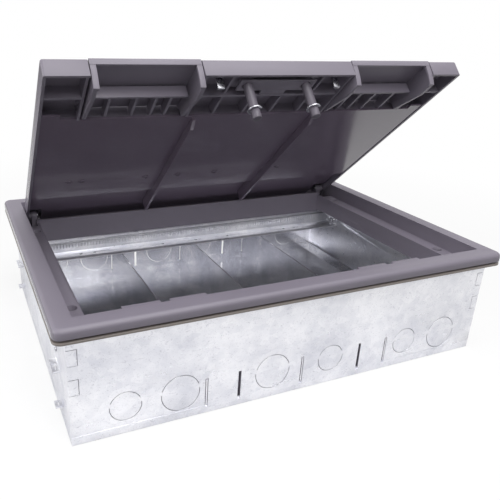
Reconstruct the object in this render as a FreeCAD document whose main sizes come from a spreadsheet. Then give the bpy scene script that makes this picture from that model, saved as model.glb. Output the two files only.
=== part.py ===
import FreeCAD, Part
import os
import Sketcher

"""Screed floor box with an opening lid.

A galvanised sheet box stands on the ground, with its origin under the middle of the base,
+Z up, the front wall at -Y and the hinge of the lid at +Y. A moulded frame sits on the box
and carries the lid, which is open by lid_open degrees as modelled. All lengths are in
millimetres. Everything on the lid is drawn closed, about the hinge axis, and then turned.
"""

DIMENSIONS = (
    # alias, value, what it is
    ("box_length", 400.0, "outside length of the sheet box, along X"),
    ("box_width", 292.0, "outside width of the sheet box, along Y"),
    ("box_height", 93.0, "height of the walls"),
    ("sheet", 1.2, "thickness of the galvanised sheet"),
    ("pan_lip", 7.5, "height of the lip folded up round the base pan"),
    ("knockout_level", 25.0, "height of the centres of the knock-outs"),
    ("small_knockout", 25.5, "diameter of the small knock-out"),
    ("large_knockout", 32.5, "diameter of the large knock-out"),
    ("knockout_inner", 29.5, "distance of the inner knock-outs from the middle"),
    ("knockout_middle", 113.0, "distance of the middle knock-outs from the middle"),
    ("knockout_end", 42.0, "distance of the outer knock-outs from the ends of the box"),
    ("score_width", 0.5, "width of the cut that frees a knock-out"),
    ("bridge_width", 3.5, "width of the bridges that hold a knock-out"),
    ("crease_width", 0.5, "width of the crease along the foot of a wall"),
    ("crease_depth", 0.3, "depth of that crease"),
    ("slot_width", 2.6, "width of a divider slot in a wall"),
    ("slot_low", 5.5, "height of the foot of a divider slot"),
    ("slot_high", 33.0, "height of the head of a divider slot"),
    ("divider_pitch", 90.6, "distance between two dividers"),
    ("spare_slot", 60.8, "distance of the spare slots from the middle"),
    ("divider_height", 46.0, "height of the top edge of a divider"),
    ("divider_foot", 11.0, "width of the foot folded from a divider"),
    ("tab_reach", 7.5, "how far a corner tab wraps round the wall"),
    ("tab_gap", 0.4, "gap round a corner tab"),
    ("lower_tab_foot", 44.5, "foot of the lower corner tab"),
    ("upper_tab_foot", 69.5, "foot of the upper corner tab"),
    ("tab_height", 13.0, "height of a corner tab"),
    ("lug_reach", 5.8, "how far the lugs of an end panel stand out"),
    ("upper_lug_offset", 105.0, "distance of the upper lugs from the middle, along Y"),
    ("upper_lug_width", 20.0, "width of an upper lug"),
    ("upper_lug_level", 46.0, "underside of an upper lug"),
    ("lug_hole", 4.0, "diameter of the hole in an upper lug"),
    ("lug_slit", 0.8, "width of the slit in a lug"),
    ("lower_lug_offset", 113.0, "distance of the lower lugs from the middle, along Y"),
    ("lower_lug_width", 9.0, "width of a lower lug"),
    ("lower_lug_level", 15.5, "underside of a lower lug"),
    ("rivet_hole", 4.4, "diameter of the small holes near the corners of an end panel"),
    ("rivet_offset", 18.0, "distance of those holes from the front and back of the box"),
    ("rivet_level", 83.0, "height of those holes"),
    ("rail_level", 53.0, "top of the flange of a rail"),
    ("rail_reach", 85.0, "distance of the edge of a rail from the middle"),
    ("rail_riser", 107.0, "distance of the riser of a rail from the middle"),
    ("rail_shelf", 64.0, "top of the shelf of a rail"),
    ("rail_back", 111.4, "distance of the rear riser of a rail from the middle"),
    ("rail_top", 69.4, "top of a rail"),
    ("rail_hole", 4.2, "diameter of a plate fixing hole in a rail"),
    ("rail_hole_outer", 138.5, "distance of the outer plate holes from the middle"),
    ("rail_hole_next", 123.0, "distance of the next plate holes from the middle"),
    ("rail_hole_inner", 42.0, "distance of the inner plate holes from the middle"),
    ("small_screw", 4.0, "diameter of the rail and frame screws"),
    ("screw_gap", 0.1, "radial gap round the screws"),
    ("flange_overhang", 9.5, "how far the flange and trim stand out past the box"),
    ("flange_thick", 2.0, "thickness of the flange ring"),
    ("trim_top", 105.0, "height of the top of the trim"),
    ("trim_depth", 8.0, "depth of the edge of the trim"),
    ("trim_radius", 4.0, "radius of the outer edge of the trim"),
    ("trim_corner", 7.0, "radius of the corners of the trim"),
    ("shoulder", 4.5, "how far the shoulder lies inside the edge of the trim"),
    ("opening_inset", 7.0, "how far the frame opening lies inside the box"),
    ("wall", 2.5, "thickness of the moulded walls"),
    ("ledge_level", 90.0, "height of the ledge that the lid rests on"),
    ("side_ledge", 14.0, "width of the side ledges"),
    ("front_ledge", 22.0, "width of the front ledge"),
    ("skirt_foot", 71.0, "foot of the wall below the ledges"),
    ("well_floor", 70.0, "underside of the well that the lid tips into"),
    ("well_front", 98.0, "distance of the front of the well from the middle"),
    ("cross_wall", 108.0, "distance of the cross wall from the middle"),
    ("cross_wall_thick", 3.0, "thickness of the cross wall"),
    ("cross_wall_foot", 68.0, "foot of the cross wall"),
    ("cross_wall_top", 93.0, "top of the cross wall"),
    ("finger_width", 32.0, "width of a cable finger on the front ledge"),
    ("finger_reach", 9.0, "how far a cable finger stands out"),
    ("finger_inner", 93.5, "distance of the inner cable fingers from the middle"),
    ("finger_outer", 133.5, "distance of the outer cable fingers from the middle"),
    ("finger_slot", 26.0, "length of the slot in a cable finger"),
    ("finger_slot_width", 4.7, "width of that slot"),
    ("screw_well", 9.6, "diameter of the wells for the frame screws"),
    ("screw_well_floor", 78.0, "floor of the wells for the frame screws"),
    ("screw_well_foot", 75.5, "underside of the bosses of those wells"),
    ("front_screw", -97.5, "place of the front frame screws along Y"),
    ("rear_screw", 82.0, "place of the rear frame screws along Y"),
    ("bracket_level", 70.0, "top of the brackets that take the frame screws"),
    ("hinge_back", 118.0, "distance of the hinge axis from the middle"),
    ("hinge_level", 96.0, "height of the hinge axis"),
    ("hinge_pin", 5.0, "diameter of a hinge pin"),
    ("running_gap", 0.05, "radial clearance in the hinges and guides"),
    ("hinge_ear", 6.0, "thickness of a hinge ear on the frame"),
    ("hinge_ear_radius", 5.0, "radius of the head of a hinge ear"),
    ("lid_open", 41.0, "angle that the lid is open by, as modelled"),
    ("lid_gap", 1.2, "gap round the sides of the lid"),
    ("front_gap", 1.0, "gap between the lid and the front of the frame"),
    ("lid_tail", 18.0, "how far the lid reaches behind the hinge axis"),
    ("rest_gap", 0.3, "gap under the closed lid and between seated pieces"),
    ("lid_skin", 3.0, "thickness of the top of the lid"),
    ("carpet_depth", 3.0, "depth of the recess for the floor covering"),
    ("carpet_rim", 17.5, "width of the rim at the sides of the recess"),
    ("carpet_front", -72.0, "front of the recess along Y"),
    ("carpet_back", 127.0, "back of the recess along Y"),
    ("carpet_plate", 1.0, "thickness of the plate in the recess"),
    ("panel_level", 91.0, "underside of the underside panel, lid closed"),
    ("panel_thick", 2.0, "thickness of the underside panel"),
    ("panel_front", -80.0, "front edge of the underside panel along Y"),
    ("step_front", 66.0, "where the underside panel starts to step up"),
    ("step_back", 72.0, "where that step ends"),
    ("panel_rise", 6.0, "height of that step"),
    ("rib_offset", 61.0, "distance of the long ribs from the middle"),
    ("rib_thick", 3.0, "thickness of a long rib"),
    ("rib_depth", 7.0, "how far a long rib stands out"),
    ("ring_place", 33.0, "place of the row of small rings along Y"),
    ("flap_inner", 71.0, "distance of the inner side of a flap from the middle"),
    ("flap_outer", 158.0, "distance of the outer side of a flap from the middle"),
    ("flap_gap", 0.8, "gap round a flap"),
    ("flap_pivot", -82.0, "place of the flap pivots along Y"),
    ("flap_pivot_level", 100.5, "height of the flap pivots, lid closed"),
    ("flap_stub", 4.0, "diameter of the flap pivots"),
    ("cheek_thick", 3.0, "thickness of a flap cheek"),
    ("cheek_rim", 4.5, "width of the curved front edge of a cheek"),
    ("cheek_rim_depth", 2.4, "depth of that edge"),
    ("cheek_front", 82.0, "foot of a cheek at its front, lid closed"),
    ("cheek_back", 90.0, "foot of a cheek at its back, lid closed"),
    ("grid_front", -110.0, "front of the cross rail in the lid along Y"),
    ("grid_thick", 2.2, "thickness of the small ribs in the lid"),
    ("post_offset", 28.0, "distance of the handle posts from the middle"),
    ("post_place", -123.0, "place of the handle posts along Y"),
    ("post", 8.0, "diameter of a handle post"),
    ("post_foot", 60.0, "foot of the handle posts, lid closed"),
    ("handle_length", 76.0, "length of the lift handle"),
    ("handle_width", 13.0, "width of the lift handle"),
    ("handle_thick", 5.0, "thickness of the lift handle"),
    ("clip_level", 68.0, "underside of the retaining clips, lid closed"),
    ("clip_thick", 0.8, "thickness of a retaining clip"),
    ("guide_level", 91.0, "underside of the guide plate, lid closed"),
    ("guide_thick", 1.5, "thickness of the guide plate"),
    ("guide_tongue", 24.0, "width of the tongue at the back of the guide plate"),
    ("catch_offset", 55.0, "distance of the spring catches from the middle"),
)


class Size:
    """A length or an angle: its number, and the sheet expression that gives it."""

    def __init__(self, text, number):
        self.text = text
        self.number = number

    @staticmethod
    def of(value):
        return value if isinstance(value, Size) else Size("(%r)" % float(value), float(value))

    def joined(self, sign, other, number):
        return Size("(%s %s %s)" % (self.text, sign, other.text), number)

    def __add__(self, other):
        other = Size.of(other)
        return self.joined("+", other, self.number + other.number)

    def __sub__(self, other):
        other = Size.of(other)
        return self.joined("-", other, self.number - other.number)

    def __mul__(self, other):
        other = Size.of(other)
        return self.joined("*", other, self.number * other.number)

    def __truediv__(self, other):
        other = Size.of(other)
        return self.joined("/", other, self.number / other.number)

    def __radd__(self, other):
        return Size.of(other) + self

    def __rsub__(self, other):
        return Size.of(other) - self

    def __rmul__(self, other):
        return Size.of(other) * self

    def __neg__(self):
        return Size("(0 - %s)" % self.text, -self.number)


class Sizes:
    """The driving dimensions, read back from the sheet by name."""


doc = FreeCAD.newDocument("screed_floor_box")
sheet = doc.addObject("Spreadsheet::Sheet", "dims")
for row, (alias, value, meaning) in enumerate(DIMENSIONS, start=1):
    sheet.set("A%d" % row, alias)
    sheet.set("B%d" % row, str(value))
    sheet.set("C%d" % row, meaning)
    sheet.setAlias("B%d" % row, alias)
doc.recompute()

s = Sizes()
for alias, value, meaning in DIMENSIONS:
    setattr(s, alias, Size("dims.%s" % alias, float(sheet.get(alias))))

subparts = []

# Places of the ribs behind a flap, as shares of the clear width from its inner cheek
RIB_SHARES = (0.16, 0.32, 0.53, 0.81)

# Places of the small rings under the lid, as shares of half its length
RING_SHARES = (-0.81, -0.745, -0.405, -0.22, 0.0, 0.405)


# Shapes for sketches: each is a tuple of its kind and its sizes

def rectangle(across, up):
    return ("polygon", [(across[0], up[0]), (across[1], up[0]), (across[1], up[1]), (across[0], up[1])])


def polygon(points):
    return ("polygon", points)


def circle(across, up, radius):
    return ("circle", across, up, radius)


def about(middle, width):
    """The two ends of a span of this width about its middle."""
    return (middle - width / 2, middle + width / 2)


def ordered(span):
    """The same span with its lower end first."""
    low, high = Size.of(span[0]), Size.of(span[1])
    return (low, high) if low.number <= high.number else (high, low)


def mirrored(side, span):
    """A span on the left for side -1 and on the right for side 1."""
    return ordered((side * Size.of(span[0]), side * Size.of(span[1])))


def bind(thing, path, size):
    thing.setExpression(path, Size.of(size).text)


def draw(sketch, shape):
    """Add one closed shape to a sketch, every size of it bound to the sheet."""
    def hold(kind, geometry, point, size):
        size = Size.of(size)
        index = sketch.addConstraint(Sketcher.Constraint(kind, -1, 1, geometry, point, size.number))
        bind(sketch, "Constraints[%d]" % index, size)

    if shape[0] == "circle":
        across, up, radius = (Size.of(value) for value in shape[1:])
        centre = FreeCAD.Vector(across.number, up.number, 0)
        ring = sketch.addGeometry(Part.Circle(centre, FreeCAD.Vector(0, 0, 1), radius.number), False)
        index = sketch.addConstraint(Sketcher.Constraint("Radius", ring, radius.number))
        bind(sketch, "Constraints[%d]" % index, radius)
        hold("DistanceX", ring, 3, across)
        hold("DistanceY", ring, 3, up)
        return
    points = [(Size.of(across), Size.of(up)) for across, up in shape[1]]
    corners = [FreeCAD.Vector(across.number, up.number, 0) for across, up in points]
    lines = [sketch.addGeometry(Part.LineSegment(start, end), False)
             for start, end in zip(corners, corners[1:] + corners[:1])]
    for line, following in zip(lines, lines[1:] + lines[:1]):
        sketch.addConstraint(Sketcher.Constraint("Coincident", line, 2, following, 1))
    for line, (across, up) in zip(lines, points):
        hold("DistanceX", line, 1, across)
        hold("DistanceY", line, 1, up)


class Piece:
    """A body made of sketches on its own origin planes, padded and pocketed.

    On XY a sketch holds X and Y, on XZ it holds X and Z, and on YZ it holds Y and Z. A span
    gives the lower and the higher end of a pad or pocket along the third axis.
    """

    def __init__(self, label):
        self.body = doc.addObject("PartDesign::Body", label)
        self.body.Label = label
        subparts.append(self.body)

    def sketch(self, plane, level, shapes):
        sketch = self.body.newObject("Sketcher::SketchObject", "Sketch")
        planes = {feature.Role: feature for feature in self.body.Origin.OriginFeatures}
        sketch.AttachmentSupport = [(planes[plane + "_Plane"], "")]
        sketch.MapMode = "FlatFace"
        bind(sketch, "AttachmentOffset.Base.z", -level if plane == "XZ" else level)
        for shape in shapes:
            draw(sketch, shape)
        return sketch

    def pad(self, plane, span, *shapes):
        low, high = ordered(span)
        feature = self.body.newObject("PartDesign::Pad", "Pad")
        feature.Profile = self.sketch(plane, low, shapes)
        bind(feature, "Length", high - low)
        feature.Reversed = plane == "XZ"
        self.body.Tip = feature

    def pocket(self, plane, span, *shapes):
        low, high = ordered(span)
        feature = self.body.newObject("PartDesign::Pocket", "Pocket")
        feature.Profile = self.sketch(plane, low if plane == "XZ" else high, shapes)
        bind(feature, "Length", high - low)
        self.body.Tip = feature

    def dress(self, kind, size, wanted):
        """Round or chamfer the edges that the test picks out."""
        doc.recompute()
        base = self.body.Tip
        names = ["Edge%d" % number for number, edge in enumerate(base.Shape.Edges, start=1) if wanted(edge)]
        feature = self.body.newObject("PartDesign::" + kind, kind)
        feature.Base = (base, names)
        bind(feature, "Radius" if kind == "Fillet" else "Size", size)
        self.body.Tip = feature


# Primitives for turned pieces and small fittings

def block(x, y, z):
    box = doc.addObject("Part::Box", "Block")
    for letter, length, span in (("x", "Length", x), ("y", "Width", y), ("z", "Height", z)):
        low, high = ordered(span)
        bind(box, length, high - low)
        bind(box, "Placement.Base." + letter, low)
    return box


TURNS = {
    "x": FreeCAD.Rotation(FreeCAD.Vector(0, 1, 0), 90),
    "z": FreeCAD.Rotation(),
}


def rod(axis, span, centre, radius):
    """A round bar along X or Z; centre is (y, z) or (x, y)."""
    low, high = ordered(span)
    bar = doc.addObject("Part::Cylinder", "Rod")
    bar.Placement = FreeCAD.Placement(FreeCAD.Vector(), TURNS[axis])
    bind(bar, "Radius", radius)
    bind(bar, "Height", high - low)
    others = {"x": ("y", "z"), "z": ("x", "y")}[axis]
    bind(bar, "Placement.Base." + axis, low)
    for letter, value in zip(others, centre):
        bind(bar, "Placement.Base." + letter, value)
    return bar


def profile(points, x):
    """A straight bar along X whose section is a polygon of (y, z) points."""
    low, high = ordered(x)
    sketch = doc.addObject("Sketcher::SketchObject", "Section")
    sketch.Placement = FreeCAD.Placement(FreeCAD.Vector(), FreeCAD.Rotation(FreeCAD.Vector(1, 1, 1), 120))
    bind(sketch, "Placement.Base.x", low)
    draw(sketch, polygon(points))
    bar = doc.addObject("Part::Extrusion", "Bar")
    bar.Base = sketch
    bar.DirMode = "Custom"
    bar.Dir = FreeCAD.Vector(1, 0, 0)
    bar.Solid = True
    bind(bar, "LengthFwd", high - low)
    return bar


def fused(parts, label="Fused"):
    union = doc.addObject("Part::MultiFuse", label)
    union.Shapes = parts
    union.Refine = True
    return union


def cut(base, tool, label="Cut"):
    feature = doc.addObject("Part::Cut", label)
    feature.Base = base
    feature.Tool = tool
    feature.Refine = True
    return feature


def common(first, second):
    feature = doc.addObject("Part::MultiCommon", "Common")
    feature.Shapes = [first, second]
    return feature


def finished(feature, label):
    """Name a primitive or boolean as a sub-part."""
    feature.Label = label
    subparts.append(feature)
    return feature


def grouped(parts, label):
    """Equal fasteners that share one node, as separate solids."""
    group = doc.addObject("Part::Compound", label)
    group.Links = parts
    return finished(group, label)


# Places that several pieces share

half_length = s.box_length / 2
half_width = s.box_width / 2
inside_x = half_length - s.sheet
inside_y = half_width - s.sheet
whole_x = (-inside_x, inside_x)

flange_top = s.box_height + s.flange_thick
opening_x = half_length - s.opening_inset
opening_y = half_width - s.opening_inset
frame_x = opening_x + s.wall
frame_y = opening_y + s.wall
ledge_x = opening_x - s.side_ledge
ledge_front = s.front_ledge - opening_y
ledge_under = s.ledge_level - s.wall
cross_back = s.cross_wall + s.cross_wall_thick
ear_outside = ledge_x + 1 + s.hinge_ear
ear_x = (ledge_x + 1, ear_outside)
frame_screw_x = (ledge_x + opening_x) / 2

lid_x = opening_x - s.lid_gap
lid_front = s.front_gap - opening_y
lid_back = s.hinge_back + s.lid_tail
lid_foot = s.ledge_level + s.rest_gap
skin_under = s.trim_top - s.lid_skin
pin_hole = s.hinge_pin / 2 + s.running_gap
flap_boss = s.flap_stub * 0.75


def about_hinge_y(value):
    """Place along Y of a point on the closed lid, from the hinge axis."""
    return value - s.hinge_back


def about_hinge_z(value):
    """Height of a point on the closed lid, from the hinge axis."""
    return value - s.hinge_level


def y_span(low, high):
    return (about_hinge_y(low), about_hinge_y(high))


def z_span(low, high):
    return (about_hinge_z(low), about_hinge_z(high))


def hung_on_hinge(feature):
    """Turn a piece that was drawn about the hinge axis into the open lid's place."""
    feature.Placement = FreeCAD.Placement(FreeCAD.Vector(), FreeCAD.Rotation(FreeCAD.Vector(1, 0, 0), -1))
    bind(feature, "Placement.Base.y", s.hinge_back)
    bind(feature, "Placement.Base.z", s.hinge_level)
    bind(feature, "Placement.Rotation.Angle", -s.lid_open)


# Sheet metal box

def base_pan():
    pan = Piece("base_pan")
    outline = rectangle(whole_x, (-inside_y, inside_y))
    pan.pad("XY", (0, s.sheet), outline)
    lip_x = inside_x - s.sheet
    lip_y = inside_y - s.sheet
    pan.pad("XY", (0, s.pan_lip), outline, rectangle((-lip_x, lip_x), (-lip_y, lip_y)))


def knockouts():
    """Centres along X and diameters, from the left seen from the front."""
    return (
        (s.knockout_end - half_length, s.small_knockout),
        (-s.knockout_middle, s.large_knockout),
        (-s.knockout_inner, s.large_knockout),
        (s.knockout_inner, s.small_knockout),
        (s.knockout_middle, s.small_knockout),
        (half_length - s.knockout_end, s.large_knockout),
    )


def tab_spans():
    for foot in (s.lower_tab_foot, s.upper_tab_foot):
        yield (foot, foot + s.tab_height)


def long_wall(label, side):
    """Front wall for side -1, back wall for side 1."""
    wall = Piece(label)
    thickness = mirrored(side, (inside_y, half_width))
    wall.pad("XZ", thickness, rectangle((-half_length, half_length), (0, s.box_height)))

    slots = [rectangle(about(place, s.slot_width), (s.slot_low, s.slot_high))
             for place in (-s.divider_pitch, -s.spare_slot, Size.of(0), s.spare_slot, s.divider_pitch)]
    wall.pocket("XZ", thickness, *slots)

    notch = s.tab_reach + s.tab_gap
    for end in (-1, 1):
        reach = mirrored(end, (half_length - notch, half_length + 1))
        notches = [rectangle(reach, (low - s.tab_gap, high + s.tab_gap)) for low, high in tab_spans()]
        wall.pocket("XZ", thickness, *notches)

    # Each knock-out is sheared through, apart from a bridge at either side
    for place, diameter in knockouts():
        wall.pocket("XZ", thickness, circle(place, s.knockout_level, (diameter + s.score_width) / 2),
                    circle(place, s.knockout_level, (diameter - s.score_width) / 2))
        bridge = about(s.knockout_level + 3, s.bridge_width)
        wall.pad("XZ", thickness, *[rectangle(about(place + turn * diameter / 2, s.bridge_width), bridge)
                                    for turn in (-1, 1)])

    creased = mirrored(side, (half_width - s.crease_depth, half_width))
    between = (-half_length, -s.divider_pitch - s.slot_width)
    for reach in (between, mirrored(-1, between)):
        wall.pocket("XZ", creased, rectangle(reach, about(s.pan_lip, s.crease_width)))


def end_panel(label, side):
    """Left end for side -1, right end for side 1, with its corner tabs and lugs."""
    panel = Piece(label)
    thickness = mirrored(side, (inside_x, half_length))
    panel.pad("YZ", thickness, rectangle((-inside_y, inside_y), (0, s.box_height)))
    wrap = mirrored(side, (half_length - s.tab_reach, half_length))
    for wall in (-1, 1):
        reach = mirrored(wall, (inside_y, half_width))
        panel.pad("XZ", reach, *[rectangle(wrap, span) for span in tab_spans()])

    # Lugs that key the box into the screed, each with a slit and the upper ones with a hole
    out = mirrored(side, (inside_x, half_length + s.lug_reach))
    middle = side * (half_length + s.lug_reach / 2)
    slit = about(middle, s.lug_slit)
    for end in (-1, 1):
        upper = (s.upper_lug_level, s.upper_lug_level + s.sheet)
        place = end * s.upper_lug_offset
        panel.pad("XY", upper, rectangle(out, about(place, s.upper_lug_width)))
        panel.pocket("XY", upper, circle(middle, place, s.lug_hole / 2))
        panel.pocket("XY", upper, rectangle(slit, mirrored(end, (s.upper_lug_offset, s.upper_lug_offset
                                                                 + 0.4 * s.upper_lug_width))))
        lower = (s.lower_lug_level, s.lower_lug_level + s.sheet)
        place = end * s.lower_lug_offset
        panel.pad("XY", lower, rectangle(out, about(place, s.lower_lug_width)))
        panel.pocket("XY", lower, rectangle(slit, about(place, 0.6 * s.lower_lug_width)))

    for rail in (-1, 1):
        for place in rail_screw_places(rail):
            panel.pocket("YZ", thickness, circle(place, rail_screw_level(), s.small_screw / 2 + s.screw_gap))
        corner = rail * (half_width - s.rivet_offset)
        panel.pocket("YZ", thickness, circle(corner, s.rivet_level, s.rivet_hole / 2))


def divider(label, place):
    plate = Piece(label)
    clear = inside_y - s.sheet - s.rest_gap
    thickness = about(place, s.sheet)
    plate.pad("YZ", thickness, rectangle((-clear, clear), (s.sheet, s.divider_height)))
    plate.pad("YZ", thickness, rectangle((-half_width, half_width), (s.pan_lip + 1, s.slot_high - s.rest_gap)))
    plate.pad("XY", (s.sheet, 2 * s.sheet), rectangle((place, place + s.divider_foot), (-clear, clear)))


# Rails that take the accessory plates

def rail_screw_level():
    return s.rail_level + 5.5


def rail_screw_places(side):
    for offset in (6.0, 16.0):
        yield side * (s.rail_riser - offset)


def rail(label, side):
    """A folded rail along the front for side -1 and along the back for side 1."""
    strip = Piece(label)
    thin = s.sheet
    section = [
        (s.rail_reach, s.rail_level - thin),
        (s.rail_riser + thin, s.rail_level - thin),
        (s.rail_riser + thin, s.rail_shelf - thin),
        (s.rail_back + thin, s.rail_shelf - thin),
        (s.rail_back + thin, s.rail_top),
        (s.rail_back, s.rail_top),
        (s.rail_back, s.rail_shelf),
        (s.rail_riser, s.rail_shelf),
        (s.rail_riser, s.rail_level),
        (s.rail_reach, s.rail_level),
    ]
    strip.pad("YZ", whole_x, polygon([(side * y, z) for y, z in section]))
    for end in (-1, 1):
        tab = mirrored(end, (inside_x - thin, inside_x))
        strip.pad("YZ", tab, rectangle(mirrored(side, (s.rail_reach, s.rail_riser + thin)),
                                       (s.rail_level - thin, s.rail_shelf)))
        holes = [circle(place, rail_screw_level(), s.small_screw / 2 + s.screw_gap)
                 for place in rail_screw_places(side)]
        strip.pocket("YZ", tab, *holes)
    middle = side * (s.rail_reach + s.rail_riser) / 2
    flange = (s.rail_level - thin, s.rail_level)
    places = (s.rail_hole_outer, s.rail_hole_next, s.rail_hole_inner)
    holes = [circle(turn * place, middle, s.rail_hole / 2) for place in places for turn in (-1, 1)]
    strip.pocket("XY", flange, circle(0, middle, s.rail_hole / 2), *holes)


def rail_screws():
    screws = []
    for end in (-1, 1):
        for side in (-1, 1):
            for place in rail_screw_places(side):
                centre = (place, rail_screw_level())
                shank = rod("x", mirrored(end, (inside_x - s.sheet, half_length + 1.5)), centre, s.small_screw / 2)
                head = rod("x", mirrored(end, (inside_x - s.sheet - 2.4, inside_x - s.sheet)), centre, s.small_screw)
                depth = mirrored(end, (inside_x - s.sheet - 3, inside_x - s.sheet - 1.2))
                slot = block(depth, about(place, 9.0), about(rail_screw_level(), 1.0))
                screws.append(cut(fused([shank, head]), slot))
    grouped(screws, "rail_screws")


def earth_terminal():
    """A brass stud with a locknut on each side of the left end panel and a spare nut."""
    level = s.pan_lip + 22
    place = Size.of(0)
    inner = -inside_x
    stud = rod("x", (inner, inner + 16), (place, level), Size.of(2.5))
    foot = rod("x", (inner, inner + 1.5), (place, level), Size.of(5.0))
    finished(fused([stud, foot], "earth_stud"), "earth_stud")
    nuts = []
    for start in (2.0, 8.0):
        nut = doc.addObject("Part::Prism", "Nut")
        nut.Polygon = 6
        nut.Circumradius = 4.6
        nut.Height = 4.0
        nut.Placement = FreeCAD.Placement(FreeCAD.Vector(), TURNS["x"])
        bind(nut, "Placement.Base.x", inner + start)
        bind(nut, "Placement.Base.z", level)
        bore = rod("x", (inner + start - 1, inner + start + 5), (place, level), Size.of(2.6))
        nuts.append(cut(nut, bore))
    grouped(nuts, "earth_nuts")


# Flange ring, frame and what fixes the frame

def flange_ring():
    ring = Piece("flange_ring")
    out_x = half_length + s.flange_overhang
    out_y = half_width + s.flange_overhang
    in_x = frame_x + s.rest_gap
    in_y = frame_y + s.rest_gap
    ring.pad("XY", (s.box_height, flange_top), rectangle((-out_x, out_x), (-out_y, out_y)),
             rectangle((-in_x, in_x), (-in_y, in_y)))
    ring.dress("Fillet", s.trim_corner, lambda edge: is_corner(edge, out_x, out_y))


def is_corner(edge, x, y):
    """True for an upright edge at the corner (x, y)."""
    box = edge.BoundBox
    upright = box.ZLength > 0.5 and box.XLength < 0.01 and box.YLength < 0.01
    return upright and abs(abs(box.XMin) - x.number) < 0.01 and abs(abs(box.YMin) - y.number) < 0.01


def u_shape(out_x, in_x, front_out, front_in, back):
    """A U that is open towards +Y, as its eight corners."""
    return polygon([
        (-out_x, front_out), (out_x, front_out), (out_x, back), (in_x, back),
        (in_x, front_in), (-in_x, front_in), (-in_x, back), (-out_x, back),
    ])


def trim_frame():
    frame = Piece("trim_frame")
    out_x = half_length + s.flange_overhang
    out_y = half_width + s.flange_overhang
    trim_foot = s.trim_top - s.trim_depth
    opening = rectangle((-opening_x, opening_x), (-opening_y, opening_y))

    frame.pad("XY", (trim_foot, s.trim_top), rectangle((-out_x, out_x), (-out_y, out_y)), opening)
    shoulder_x = out_x - s.shoulder
    shoulder_y = out_y - s.shoulder
    frame.pad("XY", (flange_top, trim_foot),
              rectangle((-shoulder_x, shoulder_x), (-shoulder_y, shoulder_y)), opening)
    frame.dress("Fillet", s.trim_corner, lambda edge: is_corner(edge, out_x, out_y))
    frame.dress("Fillet", s.trim_radius, lambda edge: is_outer_rim(edge, s.trim_top, out_x, out_y))
    frame.pad("XY", (ledge_under, flange_top),
              rectangle((-frame_x, frame_x), (-frame_y, frame_y)), opening)

    # Ledges, and the wall that hangs below their inner edge
    frame.pad("XY", (ledge_under, s.ledge_level), u_shape(frame_x, ledge_x, -frame_y, ledge_front, s.well_front))
    skirt_x = ledge_x + s.wall
    frame.pad("XY", (s.skirt_foot, s.ledge_level),
              u_shape(skirt_x, ledge_x, ledge_front - s.wall, ledge_front, cross_back))

    # Well behind the cross wall
    well_floor = (s.well_floor, s.well_floor + s.wall)
    front = s.well_front - s.wall
    frame.pad("XY", well_floor, polygon([
        (-frame_x, front), (-ledge_x, front), (-ledge_x, s.cross_wall), (ledge_x, s.cross_wall),
        (ledge_x, front), (frame_x, front), (frame_x, frame_y), (-frame_x, frame_y),
    ]))
    frame.pad("XY", (s.well_floor, s.ledge_level), polygon([
        (-frame_x, front), (-ledge_x, front), (-ledge_x, s.well_front), (-opening_x, s.well_front),
        (-opening_x, opening_y), (opening_x, opening_y), (opening_x, s.well_front), (ledge_x, s.well_front),
        (ledge_x, front), (frame_x, front), (frame_x, frame_y), (-frame_x, frame_y),
    ]))
    frame.pad("XZ", (s.cross_wall, cross_back),
              rectangle((-skirt_x, skirt_x), (s.cross_wall_foot, s.cross_wall_top)))

    # Hinge ears
    for side in (-1, 1):
        ear = mirrored(side, ear_x)
        frame.pad("YZ", ear, rectangle(about(s.hinge_back, 2 * s.hinge_ear_radius), (s.well_floor, s.hinge_level)))
        frame.pad("YZ", ear, circle(s.hinge_back, s.hinge_level, s.hinge_ear_radius))
        frame.pocket("YZ", ear, circle(s.hinge_back, s.hinge_level, pin_hole))

    # Fingers for the cables on the front ledge
    ledge = (ledge_under, s.ledge_level)
    fingers = []
    slots = []
    finger_end = ledge_front + s.finger_reach
    slot_middle = ledge_front + s.finger_slot_width / 2
    for place in (-s.finger_outer, -s.finger_inner, s.finger_inner, s.finger_outer):
        fingers.append(rectangle(about(place, s.finger_width), (ledge_front - 1, finger_end)))
        slots.append(rectangle(about(place, s.finger_slot), about(slot_middle, s.finger_slot_width)))
    frame.pad("XY", ledge, *fingers)
    frame.pocket("XY", ledge, *slots)

    # Wells for the frame screws
    wells = [(side * frame_screw_x, place) for side in (-1, 1) for place in (s.front_screw, s.rear_screw)]
    boss = [rectangle(about(x, s.side_ledge), about(y, 15.0)) for x, y in wells]
    frame.pad("XY", (s.screw_well_foot, s.ledge_level), *boss)
    frame.pocket("XY", (s.screw_well_floor, s.ledge_level), *[circle(x, y, s.screw_well / 2) for x, y in wells])
    clear = s.small_screw / 2 + s.screw_gap
    frame.pocket("XY", (s.screw_well_foot, s.screw_well_floor), *[circle(x, y, clear) for x, y in wells])

    # Gaps in the front ledge for the flap cheeks, the handle posts and the spring catches
    gap_back = ledge_front + 0.1
    cheek_gap = s.cheek_rim + 4 * s.rest_gap + 1
    cheeks = [side * place for side in (-1, 1)
              for place in (s.flap_inner + s.cheek_rim / 2, s.flap_outer - s.cheek_rim / 2)]
    frame.pocket("XY", (s.cheek_front - 1.5, s.ledge_level),
                 *[rectangle(about(place, cheek_gap), (-opening_y, gap_back)) for place in cheeks])
    posts = [rectangle(about(side * s.post_offset, 15.0), (s.post_place - 10, gap_back)) for side in (-1, 1)]
    frame.pocket("XY", (s.skirt_foot, s.ledge_level), *posts)
    catches = [rectangle(about(side * s.catch_offset, 9.0), about(s.post_place - 5, 8.0)) for side in (-1, 1)]
    frame.pocket("XY", ledge, *catches)


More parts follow.
